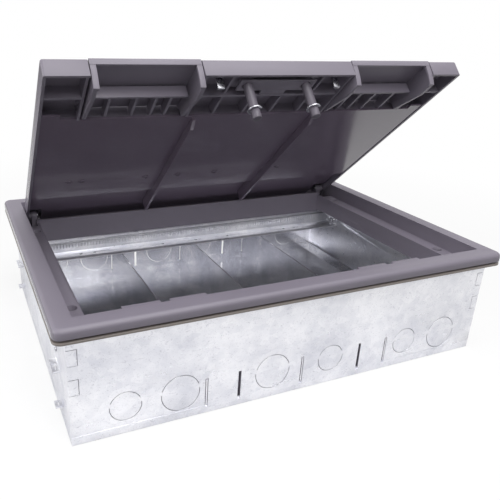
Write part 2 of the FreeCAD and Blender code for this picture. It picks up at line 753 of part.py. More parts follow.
def is_outer_rim(edge, level, x, y):
    """True for an edge of the outer rim at this height, its corners included."""
    box = edge.BoundBox
    if box.ZLength > 0.01 or abs(box.ZMax - level.number) > 0.01:
        return False
    reach_x = max(abs(box.XMin), abs(box.XMax))
    reach_y = max(abs(box.YMin), abs(box.YMax))
    on_x = abs(reach_x - x.number) < 0.01
    on_y = abs(reach_y - y.number) < 0.01
    return on_x or on_y


def frame_brackets():
    """Four angle brackets on the end panels, tapped for the frame screws."""
    brackets = []
    for side in (-1, 1):
        for place in (s.front_screw, s.rear_screw):
            shelf = block(mirrored(side, (ledge_x + s.wall + s.rest_gap, inside_x)), about(place, 18.0),
                          (s.bracket_level - 1.5, s.bracket_level))
            leg = block(mirrored(side, (inside_x - 1.5, inside_x)), about(place, 18.0),
                        (s.bracket_level - 1.5, s.bracket_level + 16))
            hole = rod("z", (s.bracket_level - 3, s.bracket_level + 1), (side * frame_screw_x, place),
                       s.small_screw / 2 + s.running_gap)
            brackets.append(cut(fused([shelf, leg]), hole))
    grouped(brackets, "frame_brackets")


def frame_screws():
    screws = []
    for side in (-1, 1):
        for place in (s.front_screw, s.rear_screw):
            centre = (side * frame_screw_x, place)
            shank = rod("z", (s.bracket_level - 14, s.screw_well_floor), centre, s.small_screw / 2)
            head = rod("z", (s.screw_well_floor, s.screw_well_floor + 2.6), centre, s.small_screw)
            slot = block(about(centre[0], 1.0), about(place, 9.0), (s.screw_well_floor + 1.3, s.screw_well_floor + 4))
            screws.append(cut(fused([shank, head]), slot))
    grouped(screws, "frame_screws")


def hinge_pins():
    pins = []
    for side in (-1, 1):
        start = ledge_x + 1
        shank = rod("x", mirrored(side, (start, lid_x - 0.2)), (s.hinge_back, s.hinge_level), s.hinge_pin / 2)
        head = rod("x", mirrored(side, (start - 1, start)), (s.hinge_back, s.hinge_level), s.hinge_pin / 2 + 1)
        pins.append(fused([shank, head]))
    grouped(pins, "hinge_pins")


# Lid

def lid_shell():
    lid = Piece("lid_shell")
    across = (-lid_x, lid_x)
    inner_x = lid_x - s.wall
    lid.pad("XY", z_span(lid_foot, s.trim_top), rectangle(across, y_span(lid_front, lid_back)))
    lid.dress("Fillet", Size.of(2.0), lambda edge: is_lid_rim(edge))
    lid.pocket("XY", z_span(lid_foot, skin_under),
               rectangle((-inner_x, inner_x), y_span(lid_front + s.wall, lid_back - s.wall)))
    lid.pocket("XZ", y_span(lid_back - s.wall - 1, lid_back + 1),
               rectangle((-inner_x, inner_x), z_span(lid_foot - 1, s.panel_level + s.panel_rise)))

    # Notches in the rear skirt, which clear the hinge ears as the lid opens
    for side in (-1, 1):
        notch = mirrored(side, (ear_x[0] - s.lid_gap, ear_outside + s.lid_gap))
        lid.pocket("XZ", y_span(lid_back - s.wall - 1, lid_back + 1), rectangle(notch, z_span(lid_foot - 1, skin_under)))

    # Windows for the two cable flaps, open at the front
    window_back = s.flap_pivot + flap_boss + s.flap_gap
    for side in (-1, 1):
        window = mirrored(side, (s.flap_inner - s.flap_gap, s.flap_outer + s.flap_gap))
        lid.pocket("XY", z_span(lid_foot - 1, s.trim_top + 1),
                   rectangle(window, y_span(lid_front - 1, window_back)))

    # Recess for the floor covering
    rim = lid_x - s.carpet_rim
    skin = s.wall
    under = skin_under - s.carpet_depth + 0.5
    lid.pad("XY", z_span(under, skin_under),
            rectangle((-rim - skin, rim + skin), y_span(s.carpet_front - skin, s.carpet_back + skin)))
    lid.pocket("XY", z_span(s.trim_top - s.carpet_depth, s.trim_top),
               rectangle((-rim, rim), y_span(s.carpet_front, s.carpet_back)))

    # Cross rail and ribs behind the flaps and the handle
    rail_back = s.grid_front + s.grid_thick
    grid_top = skin_under - 4 * s.rest_gap
    bay_walls = (s.flap_inner - 2 * s.flap_gap - s.grid_thick, s.flap_inner - 2 * s.flap_gap)
    outer_walls = (s.flap_outer + 2 * s.flap_gap, s.flap_outer + 2 * s.flap_gap + s.grid_thick)
    cheek_inner = s.flap_inner + s.cheek_thick + 2 * s.flap_gap
    cheek_outer = s.flap_outer - s.cheek_thick - 2 * s.flap_gap
    bulkhead = y_span(window_back, window_back + s.grid_thick)
    panel_top = s.panel_level + s.panel_thick
    lid.pad("XY", z_span(panel_top, skin_under), rectangle((-inner_x - 1, inner_x + 1), bulkhead))
    for side in (-1, 1):
        for wall in (bay_walls, outer_walls):
            lid.pad("XY", z_span(lid_foot, skin_under),
                    rectangle(mirrored(side, wall), y_span(lid_front + 1, s.panel_front)))
        lid.pad("XY", z_span(s.panel_level, grid_top),
                rectangle(mirrored(side, (cheek_inner, cheek_outer)), y_span(s.grid_front, rail_back)))
        lid.pad("XY", z_span(s.panel_level, skin_under),
                rectangle(mirrored(side, (outer_walls[1] - 1, inner_x + 1)), y_span(s.grid_front, rail_back)))
        for share in RIB_SHARES:
            middle = cheek_inner + share * (cheek_outer - cheek_inner)
            lid.pad("XY", z_span(panel_top, grid_top),
                    rectangle(mirrored(side, about(middle, s.grid_thick)), y_span(rail_back - 1, window_back + 1)))
        for place, start in ((s.post_offset + 15, lid_front + 1), (s.post_offset / 2, rail_back - 1)):
            lid.pad("XY", z_span(panel_top, skin_under),
                    rectangle(mirrored(side, about(place, s.grid_thick)), y_span(start, window_back + 1)))
    lid.pad("XY", z_span(s.panel_level, skin_under),
            rectangle((-bay_walls[0] - 1, bay_walls[0] + 1), y_span(s.grid_front, rail_back)))

    # Pan for the lift handle, with the guides of its posts
    pan_x = s.handle_length / 2 + 2
    pan_floor = s.trim_top - s.handle_thick - 2 * s.rest_gap
    pan_y = (s.post_place - s.handle_width / 2 - 1, s.post_place + s.handle_width / 2 + 1)
    lid.pad("XY", z_span(pan_floor - s.wall, skin_under),
            rectangle((-pan_x - s.wall, pan_x + s.wall), y_span(pan_y[0] - s.wall, pan_y[1] + s.wall)))
    posts = [side * s.post_offset for side in (-1, 1)]
    guide_top = s.guide_level + s.guide_thick
    lid.pad("XY", z_span(guide_top, pan_floor - 1),
            *[circle(x, about_hinge_y(s.post_place), s.post / 2 + s.wall) for x in posts])
    lid.pocket("XY", z_span(pan_floor, s.trim_top), rectangle((-pan_x, pan_x), y_span(*pan_y)))
    lid.pocket("XY", z_span(guide_top, pan_floor),
               *[circle(x, about_hinge_y(s.post_place), s.post / 2 + s.running_gap) for x in posts])

    # Bores for the hinge pins and the flap pivots
    for side in (-1, 1):
        boss = mirrored(side, (ear_outside + s.rest_gap, inner_x + 1))
        lid.pad("YZ", boss, circle(0, 0, s.hinge_ear_radius - 0.4))
        lid.pocket("YZ", mirrored(side, (ear_outside, lid_x + 1)), circle(0, 0, pin_hole))
        pivot = circle(about_hinge_y(s.flap_pivot), about_hinge_z(s.flap_pivot_level),
                       s.flap_stub / 2 + s.running_gap)
        lid.pocket("YZ", mirrored(side, (bay_walls[0], s.flap_inner - s.flap_gap)), pivot)
        lid.pocket("YZ", mirrored(side, (s.flap_outer + s.flap_gap, outer_walls[1])), pivot)
    hung_on_hinge(lid.body)


def is_lid_rim(edge):
    """True for the top edges and the two front corners of the lid."""
    box = edge.BoundBox
    top = about_hinge_z(s.trim_top).number
    if box.ZLength < 0.01:
        return abs(box.ZMax - top) < 0.01
    return abs(box.YMax - about_hinge_y(lid_front).number) < 0.01


def lid_underside_panel():
    panel = Piece("lid_underside_panel")
    reach = lid_x - s.wall - s.rest_gap
    low = s.panel_level
    high = low + s.panel_thick
    rear_low = low + s.panel_rise
    rear_high = rear_low + s.panel_thick + 0.2
    panel.pad("XY", z_span(low, high), rectangle((-reach, reach), y_span(s.panel_front, s.step_front)))
    for side in (-1, 1):
        panel.pad("XY", z_span(low, high),
                  rectangle(mirrored(side, (reach - 14, reach)), y_span(s.panel_front - 5.5, s.panel_front + 1)))
    panel.pad("YZ", (-reach, reach), polygon([
        (about_hinge_y(s.step_front), about_hinge_z(low)),
        (about_hinge_y(s.step_back), about_hinge_z(rear_low)),
        (about_hinge_y(s.step_back), about_hinge_z(rear_high)),
        (about_hinge_y(s.step_front), about_hinge_z(high)),
    ]))
    narrow = ledge_x - s.wall - 2
    ear_front = s.hinge_back - 2 * s.hinge_ear_radius - 2
    back = lid_back - s.wall - s.rest_gap
    panel.pad("XY", z_span(rear_low, rear_high), polygon([
        (x, about_hinge_y(y)) for x, y in (
            (-reach, s.step_back), (reach, s.step_back), (reach, ear_front), (narrow, ear_front),
            (narrow, back), (-narrow, back), (-narrow, ear_front), (-reach, ear_front))
    ]))
    rib_foot = low - s.rib_depth
    rib_end = s.cross_wall - s.cross_wall_thick
    outline = [
        (s.panel_front + 2, low + 1), (s.panel_front + 2, low - 3), (s.panel_front + 12, rib_foot),
        (rib_end, rib_foot), (rib_end, rear_low + 1), (s.step_back + 1, rear_low + 1), (s.step_front + 1, low + 1),
    ]
    points = polygon([(about_hinge_y(y), about_hinge_z(z)) for y, z in outline])
    for side in (-1, 1):
        panel.pad("YZ", about(side * s.rib_offset, s.rib_thick), points)
    rings = []
    for share in RING_SHARES:
        rings.append(circle(share * lid_x, about_hinge_y(s.ring_place), Size.of(3.2)))
        rings.append(circle(share * lid_x, about_hinge_y(s.ring_place), Size.of(1.8)))
    panel.pad("XY", z_span(low - 0.7, low + 0.5), *rings)
    hung_on_hinge(panel.body)


def carpet_plate():
    plate = Piece("carpet_plate")
    rim = lid_x - s.carpet_rim - s.rest_gap
    floor = s.trim_top - s.carpet_depth
    plate.pad("XY", z_span(floor, floor + s.carpet_plate),
              rectangle((-rim, rim), y_span(s.carpet_front + s.rest_gap, s.carpet_back - s.rest_gap)))
    hung_on_hinge(plate.body)


def cable_flap(label, side):
    """A flap that lifts at the front edge of the lid, with a cheek at each side."""
    pivot = (about_hinge_y(s.flap_pivot), about_hinge_z(s.flap_pivot_level))
    reach = lid_front - s.flap_pivot
    across = mirrored(side, (s.flap_inner, s.flap_outer))
    plate = block(across, y_span(lid_front, s.flap_pivot + 1.8), z_span(skin_under, s.trim_top))
    lip = block(across, y_span(lid_front, lid_front + 2.5), z_span(s.trim_top - 5, s.trim_top))
    parts = [plate, lip]
    foot = [
        (about_hinge_y(lid_front), about_hinge_z(skin_under + 1)),
        (about_hinge_y(lid_front), about_hinge_z(s.cheek_front)),
        (about_hinge_y(lid_front + 20), about_hinge_z(s.cheek_front)),
        (about_hinge_y(s.flap_pivot), about_hinge_z(s.cheek_back)),
        (about_hinge_y(s.flap_pivot), about_hinge_z(skin_under + 1)),
    ]
    stub = 2 * s.flap_gap + s.grid_thick - 0.3
    radius = -reach - 0.2
    for edge, inward in ((s.flap_inner, 1), (s.flap_outer, -1)):
        span = mirrored(side, (edge, edge + inward * s.cheek_thick))
        rim = mirrored(side, (edge, edge + inward * s.cheek_rim))
        pin = (edge + inward, edge - inward * stub)
        parts.append(common(profile(foot, span), rod("x", span, pivot, radius)))
        band = cut(rod("x", rim, pivot, radius), rod("x", rim, pivot, radius - s.cheek_rim_depth))
        parts.append(common(profile(foot, rim), band))
        parts.append(rod("x", span, pivot, flap_boss))
        parts.append(rod("x", mirrored(side, pin), pivot, s.flap_stub / 2))
    flap = finished(fused(parts, label), label)
    hung_on_hinge(flap)


def lift_handle():
    place = about_hinge_y(s.post_place)
    top = s.trim_top - 0.2
    bar = block(about(Size.of(0), s.handle_length), about(place, s.handle_width), z_span(top - s.handle_thick, top))
    grip = block(about(Size.of(0), 30.0), (place - s.handle_width, place - s.handle_width / 2 + 3),
                 z_span(top - s.handle_thick - 1, top - 2))
    parts = [cut(bar, grip)]
    clips = []
    for side in (-1, 1):
        centre = (side * s.post_offset, place)
        post = rod("z", z_span(s.post_foot, top - 1), centre, s.post / 2)
        neck = (s.clip_level - 0.1, s.clip_level + s.clip_thick + 0.1)
        groove = cut(rod("z", z_span(*neck), centre, s.post), rod("z", z_span(*neck), centre, s.post / 2 - 0.8))
        parts.append(cut(post, groove))
        clip_span = z_span(s.clip_level, s.clip_level + s.clip_thick)
        disc = rod("z", clip_span, centre, s.post / 2 + 2.3)
        bore = rod("z", clip_span, centre, s.post / 2 - 0.7)
        mouth = block((centre[0], centre[0] + s.post), about(place, 4.0), clip_span)
        clips.append(cut(disc, fused([bore, mouth])))
    handle = finished(fused(parts, "lift_handle"), "lift_handle")
    hung_on_hinge(handle)
    pair = grouped(clips, "handle_clips")
    hung_on_hinge(pair)


def handle_guide():
    """The plate under the post guides, with a tongue turned down at its back."""
    plate = Piece("handle_guide")
    low = s.guide_level
    high = low + s.guide_thick
    reach = s.post_offset + s.post
    place = about_hinge_y(s.post_place)
    plate.pad("XY", z_span(low, high),
              rectangle((-reach, reach), (place - 7, place + 7)))
    plate.pad("XY", z_span(low, high), rectangle(about(Size.of(0), s.guide_tongue), (place + 6, about_hinge_y(s.grid_front) - 0.5)))
    plate.pocket("XY", z_span(low, high),
                 *[circle(side * s.post_offset, place, s.post / 2 + s.rest_gap) for side in (-1, 1)])
    hung_on_hinge(plate.body)


def catch_springs():
    """Two bent steel leaves that dip into slots in the front ledge."""
    leaves = []
    start = s.post_place - 5
    for side in (-1, 1):
        outline = [
            (start + 6, skin_under), (start - 1, skin_under), (start - 1, s.ledge_level - 5),
            (start + 1.5, s.ledge_level - 5), (start + 1.5, s.ledge_level - 4), (start, s.ledge_level - 4),
            (start, skin_under - 1), (start + 6, skin_under - 1),
        ]
        points = [(about_hinge_y(y), about_hinge_z(z)) for y, z in outline]
        leaves.append(profile(points, about(side * s.catch_offset, 6.0)))
    pair = grouped(leaves, "catch_springs")
    hung_on_hinge(pair)


base_pan()
long_wall("front_wall", -1)
long_wall("back_wall", 1)
end_panel("left_end_panel", -1)
end_panel("right_end_panel", 1)
divider("divider_left", -s.divider_pitch)
divider("divider_middle", Size.of(0))
divider("divider_right", s.divider_pitch)
rail("front_rail", -1)
rail("rear_rail", 1)
rail_screws()
earth_terminal()
flange_ring()
trim_frame()
frame_brackets()
frame_screws()
hinge_pins()
lid_shell()
lid_underside_panel()
carpet_plate()
cable_flap("cable_flap_left", -1)
cable_flap("cable_flap_right", 1)
lift_handle()
handle_guide()
catch_springs()
doc.recompute()

for thing in doc.Objects:
    if "Invalid" in thing.State or "Error" in thing.State:
        raise RuntimeError("%s (%s) failed: %s" % (thing.Name, thing.Label, thing.State))
for thing in subparts:
    if thing.Shape.isNull() or not thing.Shape.isValid():
        raise RuntimeError("%s has no valid shape" % thing.Label)

os.makedirs("parts", exist_ok=True)
for thing in subparts:
    thing.Shape.exportStep("parts/%s.step" % thing.Label)
    print("%-22s %2d solids %10.1f mm3" % (thing.Label, len(thing.Shape.Solids), thing.Shape.Volume))
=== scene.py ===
"""Looks of a screed floor box: galvanised sheet below, textured grey mouldings above.

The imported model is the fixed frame. Its nodes keep their shape and place, get soft edges and
node-based finishes, and threaded screws, drive recesses and the fluted strips of the rails are
added as pieces of their own. Lengths are in metres unless a name ends in mm.
"""

import logging
import math
from dataclasses import dataclass
from enum import Enum

import bmesh
import bpy
from mathutils import Matrix, Vector


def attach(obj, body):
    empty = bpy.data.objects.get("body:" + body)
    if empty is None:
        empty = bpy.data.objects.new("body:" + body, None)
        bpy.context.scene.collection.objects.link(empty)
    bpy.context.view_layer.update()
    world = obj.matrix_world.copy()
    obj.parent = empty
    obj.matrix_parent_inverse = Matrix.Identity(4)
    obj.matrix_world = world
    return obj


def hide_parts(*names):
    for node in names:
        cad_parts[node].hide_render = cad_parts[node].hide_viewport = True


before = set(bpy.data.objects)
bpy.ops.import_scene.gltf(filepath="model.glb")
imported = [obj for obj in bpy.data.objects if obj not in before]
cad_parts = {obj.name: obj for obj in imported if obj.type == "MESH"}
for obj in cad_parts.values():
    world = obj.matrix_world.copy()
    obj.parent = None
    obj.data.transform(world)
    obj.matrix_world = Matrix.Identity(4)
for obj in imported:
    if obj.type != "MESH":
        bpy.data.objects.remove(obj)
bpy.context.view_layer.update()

LOG = logging.getLogger("floor_box")
MM = 0.001
# Points of a node nearer than this belong to one seam
SEAM = 0.002 * MM
# Faces that turn by less than this are one flat face
FLAT = math.radians(0.6)
# Edges sharper than this are rounded
SHARP = math.radians(35)


class Axis(Enum):
    """The direction that a screw points in."""

    UP = "up"
    RIGHT = "right"
    LEFT = "left"


class Recess(Enum):
    """What a screwdriver goes into."""

    SLOT = "slot"
    CROSS = "cross"


def linear(code: str) -> tuple[float, float, float, float]:
    """Turn an sRGB hex colour into Blender's linear one.

    Args:
        code: The colour as #RRGGBB.

    Returns:
        The linear colour, opaque.
    """
    parts = [int(code[at:at + 2], 16) / 255 for at in (1, 3, 5)]
    flat = [part / 12.92 if part <= 0.04045 else ((part + 0.055) / 1.055) ** 2.4 for part in parts]
    return flat[0], flat[1], flat[2], 1.0


def add_node(tree: bpy.types.NodeTree, kind: str, settings: dict | None = None,
             links: dict | None = None) -> bpy.types.Node:
    """Add a node with its settings and the sockets that feed it.

    Args:
        tree: The node tree.
        kind: Blender's name for the node.
        settings: Values by the name or number of an input, or by the name of a property.
        links: Output sockets by the name or number of the input they feed.

    Returns:
        The new node.
    """
    node = tree.nodes.new(kind)
    for name, value in (settings or {}).items():
        if isinstance(name, str) and hasattr(node, name):
            setattr(node, name, value)
        else:
            node.inputs[name].default_value = value
    for name, socket in (links or {}).items():
        tree.links.new(socket, node.inputs[name])
    return node


def per_metre(size_mm: float) -> float:
    """The texture scale at which a feature is this many millimetres across."""
    return 1.0 / (size_mm * MM)


@dataclass(frozen=True)
class Finish:
    """What every finish has: a name, a principled shader and the object's own coordinates."""

    name: str

    def material(self) -> bpy.types.Material:
        """Build the material once, and return it when asked again."""
        made = bpy.data.materials.get(self.name)
        if made is None:
            made = bpy.data.materials.new(self.name)
            made.use_nodes = True
            tree = made.node_tree
            tree.nodes.clear()
            shader = add_node(tree, "ShaderNodeBsdfPrincipled")
            add_node(tree, "ShaderNodeOutputMaterial", links={"Surface": shader.outputs["BSDF"]})
            self.paint(tree, shader, add_node(tree, "ShaderNodeTexCoord").outputs["Object"])
        return made

    def paint(self, tree: bpy.types.NodeTree, shader: bpy.types.Node, where: bpy.types.NodeSocket) -> None:
        """Set the shader up. Each finish does this in its own way.

        Args:
            tree: The material's tree.
            shader: Its principled shader.
            where: The object's coordinates, in metres.
        """
        raise NotImplementedError


@dataclass(frozen=True)
class GalvanisedSheet(Finish):
    """Hot-dip galvanised sheet steel, skin-passed, so the zinc crystals show only faintly."""

    pale: str = "#F1F1F5"
    grey: str = "#D3D4DC"
    vein: str = "#A9A8B4"
    speck: str = "#8F8D97"
    roughness: tuple[float, float] = (0.27, 0.36)
    metallic: float = 0.82
    cloud_mm: float = 48.0
    crystal_mm: float = 6.0
    vein_mm: float = 5.0
    patch_mm: float = 3.2
    speck_mm: float = 0.8
    streak_mm: float = 2.6
    wave_mm: float = 42.0
    wave_strength: float = 0.2

    def paint(self, tree: bpy.types.NodeTree, shader: bpy.types.Node, where: bpy.types.NodeSocket) -> None:
        """Nearly white zinc with bluish clouds, short relief veins, fine specks and rolling streaks."""
        shader.inputs["Metallic"].default_value = self.metallic
        cloud = add_node(tree, "ShaderNodeTexNoise",
                         {"Scale": per_metre(self.cloud_mm), "Detail": 5.0, "Roughness": 0.6},
                         {"Vector": where})
        crystals = add_node(tree, "ShaderNodeTexVoronoi", {"Scale": per_metre(self.crystal_mm)},
                            {"Vector": where})
        tone = add_node(tree, "ShaderNodeSeparateColor", links={"Color": crystals.outputs["Color"]})
        mixed = add_node(tree, "ShaderNodeMath", {"operation": "MULTIPLY_ADD", 1: 0.12},
                         {0: tone.outputs["Red"], 2: cloud.outputs["Fac"]})
        shade = add_node(tree, "ShaderNodeMapRange", {"From Min": 0.42, "From Max": 0.78},
                         {"Value": mixed.outputs["Value"]})
        zinc = add_node(tree, "ShaderNodeMixRGB", {"Color1": linear(self.pale), "Color2": linear(self.grey)},
                        {"Fac": shade.outputs["Result"]})
        veins = self.veins(tree, where)
        veined = add_node(tree, "ShaderNodeMixRGB", {"Color2": linear(self.vein)},
                          {"Fac": veins, "Color1": zinc.outputs["Color"]})
        grain = add_node(tree, "ShaderNodeTexNoise", {"Scale": per_metre(self.speck_mm), "Detail": 2.0},
                         {"Vector": where})
        dots = add_node(tree, "ShaderNodeMapRange", {"From Min": 0.62, "From Max": 0.76, "To Max": 0.5},
                        {"Value": grain.outputs["Fac"]})
        specked = add_node(tree, "ShaderNodeMixRGB", {"Color2": linear(self.speck)},
                           {"Fac": dots.outputs["Result"], "Color1": veined.outputs["Color"]})
        tree.links.new(specked.outputs["Color"], shader.inputs["Base Color"])
        # Rolling leaves faint streaks along the length of the sheet
        stretched = add_node(tree, "ShaderNodeMapping", {"Scale": (0.05, 1.0, 1.0)}, {"Vector": where})
        streaks = add_node(tree, "ShaderNodeTexNoise", {"Scale": per_metre(self.streak_mm), "Detail": 4.0},
                           {"Vector": stretched.outputs["Vector"]})
        gloss = add_node(tree, "ShaderNodeMath", {"operation": "MULTIPLY_ADD", 1: 0.15},
                         {0: tone.outputs["Green"], 2: streaks.outputs["Fac"]})
        shiny, dull = self.roughness
        rough = add_node(tree, "ShaderNodeMapRange",
                         {"From Min": 0.35, "From Max": 0.8, "To Min": shiny, "To Max": dull},
                         {"Value": gloss.outputs["Value"]})
        tree.links.new(rough.outputs["Result"], shader.inputs["Roughness"])
        dents = add_node(tree, "ShaderNodeTexNoise", {"Scale": per_metre(self.wave_mm), "Detail": 1.0},
                         {"Vector": where})
        waves = add_node(tree, "ShaderNodeBump", {"Strength": self.wave_strength, "Distance": 0.5 * MM},
                         {"Height": dents.outputs["Fac"]})
        relief = add_node(tree, "ShaderNodeBump", {"Strength": 0.25, "Distance": 0.04 * MM},
                          {"Height": veins, "Normal": waves.outputs["Normal"]})
        pits = add_node(tree, "ShaderNodeBump", {"Strength": 0.12, "Distance": 0.04 * MM},
                        {"Height": grain.outputs["Fac"], "Normal": relief.outputs["Normal"]})
        tree.links.new(pits.outputs["Normal"], shader.inputs["Normal"])

    def veins(self, tree: bpy.types.NodeTree, where: bpy.types.NodeSocket) -> bpy.types.NodeSocket:
        """Short wavy lines where the zinc froze last, drawn along the level lines of a noise.

        Args:
            tree: The material's tree.
            where: The object's coordinates, in metres.

        Returns:
            The strength of the lines, from 0 to 1.
        """
        flat = add_node(tree, "ShaderNodeMapping", {"Scale": (0.4, 1.0, 1.3)}, {"Vector": where})
        wander = add_node(tree, "ShaderNodeTexNoise", {"Scale": per_metre(self.vein_mm), "Detail": 3.0},
                          {"Vector": flat.outputs["Vector"]})
        off = add_node(tree, "ShaderNodeMath", {"operation": "SUBTRACT", 1: 0.5}, {0: wander.outputs["Fac"]})
        near = add_node(tree, "ShaderNodeMath", {"operation": "ABSOLUTE"}, {0: off.outputs["Value"]})
        line = add_node(tree, "ShaderNodeMapRange",
                        {"From Min": 0.0, "From Max": 0.018, "To Min": 1.0, "To Max": 0.0},
                        {"Value": near.outputs["Value"]})
        patches = add_node(tree, "ShaderNodeTexNoise", {"Scale": per_metre(self.patch_mm), "Detail": 1.0},
                           {"Vector": where})
        broken = add_node(tree, "ShaderNodeMapRange", {"From Min": 0.52, "From Max": 0.66, "To Max": 0.6},
                          {"Value": patches.outputs["Fac"]})
        both = add_node(tree, "ShaderNodeMath", {"operation": "MULTIPLY"},
                        {0: line.outputs["Result"], 1: broken.outputs["Result"]})
        return both.outputs["Value"]


@dataclass(frozen=True)
class TexturedPlastic(Finish):
    """Polycarbonate and ABS blend, moulded in a spark-eroded tool, which leaves a fine matte grain."""

    colour: str = "#79737F"
    worn: str = "#8F8996"
    ior: float = 1.57
    roughness: float = 0.5
    spread: float = 0.07
    skirt_roughness: float = 0.14
    skirt_mm: float = 154.5
    grain_mm: float = 0.7
    grain_depth: float = 0.35
    flow_mm: float = 70.0

    def paint(self, tree: bpy.types.NodeTree, shader: bpy.types.Node, where: bpy.types.NodeSocket) -> None:
        """A grey with a violet cast, mottled a little, under a grain drawn coarse enough to show."""
        shader.inputs["IOR"].default_value = self.ior
        grain = add_node(tree, "ShaderNodeTexNoise", {"Scale": per_metre(self.grain_mm), "Detail": 3.0},
                         {"Vector": where})
        flow = add_node(tree, "ShaderNodeTexNoise", {"Scale": per_metre(self.flow_mm), "Detail": 3.0},
                        {"Vector": where})
        mottle = add_node(tree, "ShaderNodeMath", {"operation": "MULTIPLY_ADD", 1: 0.5},
                          {0: grain.outputs["Fac"], 2: flow.outputs["Fac"]})
        amount = add_node(tree, "ShaderNodeMapRange", {"From Min": 0.55, "From Max": 1.15, "To Max": 0.35},
                          {"Value": mottle.outputs["Value"]})
        colour = add_node(tree, "ShaderNodeMixRGB",
                          {"Color1": linear(self.colour), "Color2": linear(self.worn)},
                          {"Fac": amount.outputs["Result"]})
        tree.links.new(colour.outputs["Color"], shader.inputs["Base Color"])
        shiny, dull = self.roughness - self.spread, self.roughness + self.spread
        rough = add_node(tree, "ShaderNodeMapRange",
                         {"From Min": 0.3, "From Max": 0.7, "To Min": shiny, "To Max": dull},
                         {"Value": grain.outputs["Fac"]})
        gloss = add_node(tree, "ShaderNodeMapRange", {"To Max": self.skirt_roughness},
                         {"Value": self.skirt_sides(tree, where), "To Min": rough.outputs["Result"]})
        tree.links.new(gloss.outputs["Result"], shader.inputs["Roughness"])
        bump = add_node(tree, "ShaderNodeBump", {"Strength": self.grain_depth, "Distance": 0.06 * MM},
                        {"Height": grain.outputs["Fac"]})
        tree.links.new(bump.outputs["Normal"], shader.inputs["Normal"])

    def skirt_sides(self, tree: bpy.types.NodeTree, where: bpy.types.NodeSocket) -> bpy.types.NodeSocket:
        """The outer sides of the lid's skirt, which slide in the tool and come out polished.

        Args:
            tree: The material's tree.
            where: The object's coordinates, in metres.

        Returns:
            1 on those sides and 0 elsewhere.
        """
        normal = add_node(tree, "ShaderNodeTexCoord").outputs["Normal"]
        facing = add_node(tree, "ShaderNodeSeparateXYZ", links={0: normal})
        place = add_node(tree, "ShaderNodeSeparateXYZ", links={0: where})
        outward = add_node(tree, "ShaderNodeMath", {"operation": "MULTIPLY"},
                           {0: facing.outputs["X"], 1: place.outputs["X"]})
        side = add_node(tree, "ShaderNodeMath", {"operation": "GREATER_THAN", 1: self.skirt_mm * MM},
                        {0: outward.outputs["Value"]})
        return side.outputs["Value"]


@dataclass(frozen=True)
class StoveEnamel(Finish):
    """Stoved enamel on the steel flange, sprayed, so it has a slight orange peel."""

    colour: str = "#7C7470"
    crest: str = "#8B837E"
    roughness: float = 0.42
    peel_mm: float = 2.5

    def paint(self, tree: bpy.types.NodeTree, shader: bpy.types.Node, where: bpy.types.NodeSocket) -> None:
        """A warm grey with a soft gloss that the peel breaks up."""
        shader.inputs["Roughness"].default_value = self.roughness
        peel = add_node(tree, "ShaderNodeTexNoise", {"Scale": per_metre(self.peel_mm), "Detail": 2.0},
                        {"Vector": where})
        tone = add_node(tree, "ShaderNodeMixRGB",
                        {"Color1": linear(self.colour), "Color2": linear(self.crest)},
                        {"Fac": peel.outputs["Fac"]})
        tree.links.new(tone.outputs["Color"], shader.inputs["Base Color"])
        bump = add_node(tree, "ShaderNodeBump", {"Strength": 0.2, "Distance": 0.05 * MM},
                        {"Height": peel.outputs["Fac"]})
        tree.links.new(bump.outputs["Normal"], shader.inputs["Normal"])


@dataclass(frozen=True)
class TurnedMetal(Finish):
    """Metal turned or rolled from bar and then plated or left bare, such as screws and studs."""

    colour: str = "#C6C6CB"
    roughness: float = 0.24
    mark_mm: float = 0.8

    def paint(self, tree: bpy.types.NodeTree, shader: bpy.types.Node, where: bpy.types.NodeSocket) -> None:
        """A bright metal whose gloss varies with fine handling marks."""
        shader.inputs["Metallic"].default_value = 1.0
        shader.inputs["Base Color"].default_value = linear(self.colour)
        marks = add_node(tree, "ShaderNodeTexNoise", {"Scale": per_metre(self.mark_mm), "Detail": 4.0},
                         {"Vector": where})
        shiny, dull = self.roughness - 0.06, self.roughness + 0.12
        rough = add_node(tree, "ShaderNodeMapRange",
                         {"From Min": 0.3, "From Max": 0.7, "To Min": shiny, "To Max": dull},
                         {"Value": marks.outputs["Fac"]})
        tree.links.new(rough.outputs["Result"], shader.inputs["Roughness"])
        bump = add_node(tree, "ShaderNodeBump", {"Strength": 0.12, "Distance": 0.03 * MM},
                        {"Height": marks.outputs["Fac"]})
        tree.links.new(bump.outputs["Normal"], shader.inputs["Normal"])


ZINC = GalvanisedSheet("galvanised_sheet")
# Inside the box the sheet kept the shine of the rolls, so neighbours mirror in it
BRIGHT_ZINC = GalvanisedSheet("bright_galvanised_sheet", roughness=(0.12, 0.2), metallic=0.88,
                              wave_strength=0.02)
PLASTIC = TexturedPlastic("textured_grey_plastic")
# The half of the tool that forms the underside of the lid is polished, so the panel shines. Its colour is the
# plastic's violet grey, painted darker and more violet as a stand-in for the shade under the lid
SMOOTH_SHADE_TINTED_PLASTIC = TexturedPlastic("smooth_plastic_with_shade_tint", colour="#756A79", worn="#857A88", roughness=0.16,
                                 grain_mm=2.4, grain_depth=0.12)
# The handle is moulded on its own, in a darker grey
POST_PLASTIC = TexturedPlastic("dark_grey_plastic", colour="#5B5560", worn="#6B6570")
ENAMEL = StoveEnamel("stoved_flange_enamel")
PLATED = TurnedMetal("zinc_plated_screw")
BRASS = TurnedMetal("bare_brass", colour="#C9A45C", roughness=0.3)


